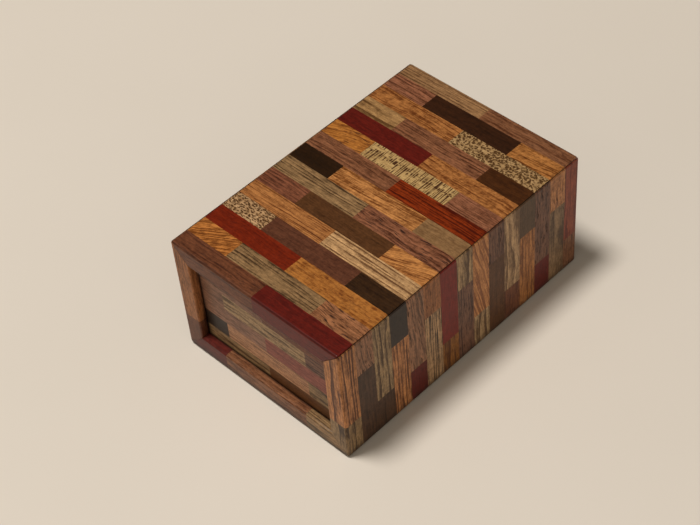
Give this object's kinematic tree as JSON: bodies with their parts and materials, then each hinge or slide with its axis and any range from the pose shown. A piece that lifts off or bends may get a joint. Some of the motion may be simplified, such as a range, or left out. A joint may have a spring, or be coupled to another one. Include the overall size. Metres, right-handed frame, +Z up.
{
  "type": "puzzle box",
  "caption": "Small mitred parquetry box with recessed sliding end panels, a keyed sliding lid and a tilt pin that locks an end panel.",
  "frame": {"origin": "middle of the base's underside", "axes": "+Z up, +X along the box from its front end to its back end, +Y to its left side"},
  "size_m": [0.08, 0.053, 0.035],
  "materials": {
    "parquetry": "satin",
    "inner_wood": "matte",
    "stop_wood": "matte",
    "steel": "satin"
  },
  "bodies": {
    "shell": {"left_wall": "parquetry", "right_wall": "parquetry", "base": "parquetry", "left_base_spline": "inner_wood", "right_base_spline": "inner_wood", "left_lid_key": "inner_wood", "right_lid_key": "inner_wood", "left_floor_runner": "inner_wood", "right_floor_runner": "inner_wood", "floor_board": "inner_wood", "front_bulkhead": "inner_wood", "back_bulkhead": "inner_wood", "left_lining": "inner_wood", "right_lining": "inner_wood"},
    "sliding_lid": {"lid": "parquetry", "lid_stop": "stop_wood"},
    "front_panel": {"front_end_panel": "parquetry"},
    "back_panel": {"back_end_panel": "parquetry"},
    "pin": {"tilt_pin": "steel"}
  },
  "joints": [
    {"name": "lid_slide", "type": "slide", "parent": "shell", "child": "sliding_lid", "axis": [-1, 0, 0], "range_m": [0, 0.054]},
    {"name": "front_panel_slide", "type": "slide", "parent": "shell", "child": "front_panel", "axis": [0, 0, 1], "range_m": [0, 0.0024]},
    {"name": "back_panel_slide", "type": "slide", "parent": "shell", "child": "back_panel", "axis": [0, 0, 1], "range_m": [0, 0.0024]},
    {"name": "pin_slide", "type": "slide", "parent": "shell", "child": "pin", "axis": [1, 0, 0], "range_m": [-0.0018, 0.0018]}
  ]
}
